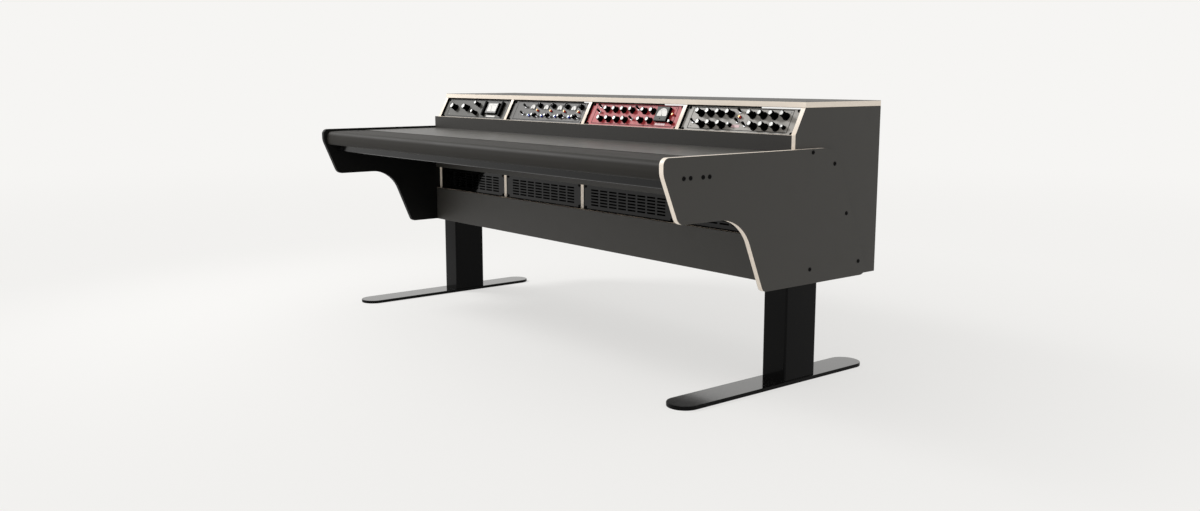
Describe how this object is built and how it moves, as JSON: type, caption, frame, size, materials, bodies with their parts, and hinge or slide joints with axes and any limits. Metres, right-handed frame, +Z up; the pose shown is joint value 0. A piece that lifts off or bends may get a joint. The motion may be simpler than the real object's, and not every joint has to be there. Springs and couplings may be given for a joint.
{
  "type": "studio desk",
  "caption": "Sit and stand studio desk: padded armrest, worktop between curved plywood cheeks, raised leaning rack console, vented bays and two lifting columns.",
  "frame": {"origin": "on the floor under the middle of the desk's outer box", "axes": "+Z up, +X to the right of a player who faces the desk, -Y towards the player"},
  "size_m": [2.07, 0.941, 0.863],
  "materials": {
    "laminate": "matt laminate on birch plywood",
    "worktop_laminate": "matt laminate on birch plywood",
    "padding": "smooth leatherette over foam",
    "black_steel": "satin black powder coat",
    "gloss_black_steel": "gloss black enamel",
    "vent_steel": "matt powder coat",
    "bare_steel": "turned steel",
    "unit_grey": "satin enamel",
    "unit_slate": "satin enamel",
    "unit_red": "satin enamel",
    "unit_pale": "satin enamel",
    "black_plastic": "moulded",
    "grey_plastic": "moulded",
    "knob_plastic": "moulded"
  },
  "bodies": {
    "leg_left": {"foot_plate_left": "gloss_black_steel", "outer_column_left": "gloss_black_steel", "guide_collar_left": "black_plastic", "nut_post_left": "bare_steel"},
    "console": {"cheek_left": "laminate", "cheek_right": "laminate", "console_side_left": "laminate", "console_side_right": "laminate", "divider_left": "laminate", "divider_centre": "laminate", "divider_right": "laminate", "top_board": "laminate", "riser_panel": "laminate", "valance_panel": "laminate", "modesty_panel": "laminate", "bottom_board": "laminate", "back_panel_left": "laminate", "back_panel_right": "laminate", "worktop": "worktop_laminate", "armrest_pad": "padding", "beam_front": "black_steel", "beam_rear": "black_steel", "rack_rail_1_left": "black_steel", "rack_rail_1_right": "black_steel", "vent_panel_1": "vent_steel", "rack_rail_2_left": "black_steel", "rack_rail_2_right": "black_steel", "vent_panel_2": "vent_steel", "rack_rail_3_left": "black_steel", "rack_rail_3_right": "black_steel", "vent_panel_3": "vent_steel", "rack_rail_4_left": "black_steel", "rack_rail_4_right": "black_steel", "vent_panel_4": "vent_steel", "rack_unit_1": "unit_grey", "rack_unit_2": "unit_slate", "rack_unit_3": "unit_red", "rack_unit_4": "unit_pale", "inner_column_left": "gloss_black_steel", "lift_bracket_left": "black_steel", "lift_motor_left": "grey_plastic", "inner_column_right": "gloss_black_steel", "lift_bracket_right": "black_steel", "lift_motor_right": "grey_plastic", "control_box": "black_plastic", "hand_control": "black_plastic"},
    "leg_right": {"foot_plate_right": "gloss_black_steel", "outer_column_right": "gloss_black_steel", "guide_collar_right": "black_plastic", "nut_post_right": "bare_steel"},
    "spindle_left": {"lift_spindle_left": "bare_steel"},
    "spindle_right": {"lift_spindle_right": "bare_steel"},
    "button_up": {"hand_button_up": "grey_plastic"},
    "button_down": {"hand_button_down": "grey_plastic"},
    "knob_level": {"unit_1_knob_level": "knob_plastic"},
    "knob_source": {"unit_1_knob_source": "knob_plastic"},
    "knob_trim": {"unit_1_knob_trim": "knob_plastic"},
    "knob_balance": {"unit_1_knob_balance": "knob_plastic"}
  },
  "joints": [
    {"name": "console_lift", "type": "slide", "parent": "leg_left", "child": "console", "axis": [0, 0, 1], "range_m": [0, 0.4]},
    {"name": "right_leg_lift", "type": "slide", "parent": "console", "child": "leg_right", "axis": [0, 0, -1], "range_m": [0, 0.4]},
    {"name": "spindle_left_turn", "type": "hinge", "parent": "console", "child": "spindle_left", "pos_m": [-0.9495, 0.1445, 0.3], "axis": [0, 0, 1], "range_deg": [0, 14400]},
    {"name": "spindle_right_turn", "type": "hinge", "parent": "console", "child": "spindle_right", "pos_m": [0.9495, 0.1445, 0.3], "axis": [0, 0, 1], "range_deg": [0, 14400]},
    {"name": "button_up_press", "type": "slide", "parent": "console", "child": "button_up", "axis": [0, 1, 0], "range_m": [0, 0.0014], "stiffness_N_per_m": 500, "springref_m": -0.001},
    {"name": "button_down_press", "type": "slide", "parent": "console", "child": "button_down", "axis": [0, 1, 0], "range_m": [0, 0.0014], "stiffness_N_per_m": 500, "springref_m": -0.001},
    {"name": "knob_level_turn", "type": "hinge", "parent": "console", "child": "knob_level", "pos_m": [-0.91574, 0.09922, 0.80323], "axis": [0, -0.8829, 0.4695], "range_deg": [-150, 150]},
    {"name": "knob_source_turn", "type": "hinge", "parent": "console", "child": "knob_source", "pos_m": [-0.82405, 0.0991, 0.803], "axis": [0, -0.8829, 0.4695], "range_deg": [-150, 150]},
    {"name": "knob_trim_turn", "type": "hinge", "parent": "console", "child": "knob_trim", "pos_m": [-0.74345, 0.10712, 0.81809], "axis": [0, -0.8829, 0.4695], "range_deg": [-150, 150]},
    {"name": "knob_balance_turn", "type": "hinge", "parent": "console", "child": "knob_balance", "pos_m": [-0.74538, 0.0893, 0.78456], "axis": [0, -0.8829, 0.4695], "range_deg": [-150, 150]}
  ],
  "couplings": [
    {"joint": "right_leg_lift", "follows": "console_lift", "ratio": 1},
    {"joint": "spindle_left_turn", "follows": "console_lift", "rad_per_m": 628.32},
    {"joint": "spindle_right_turn", "follows": "console_lift", "rad_per_m": 628.32}
  ]
}
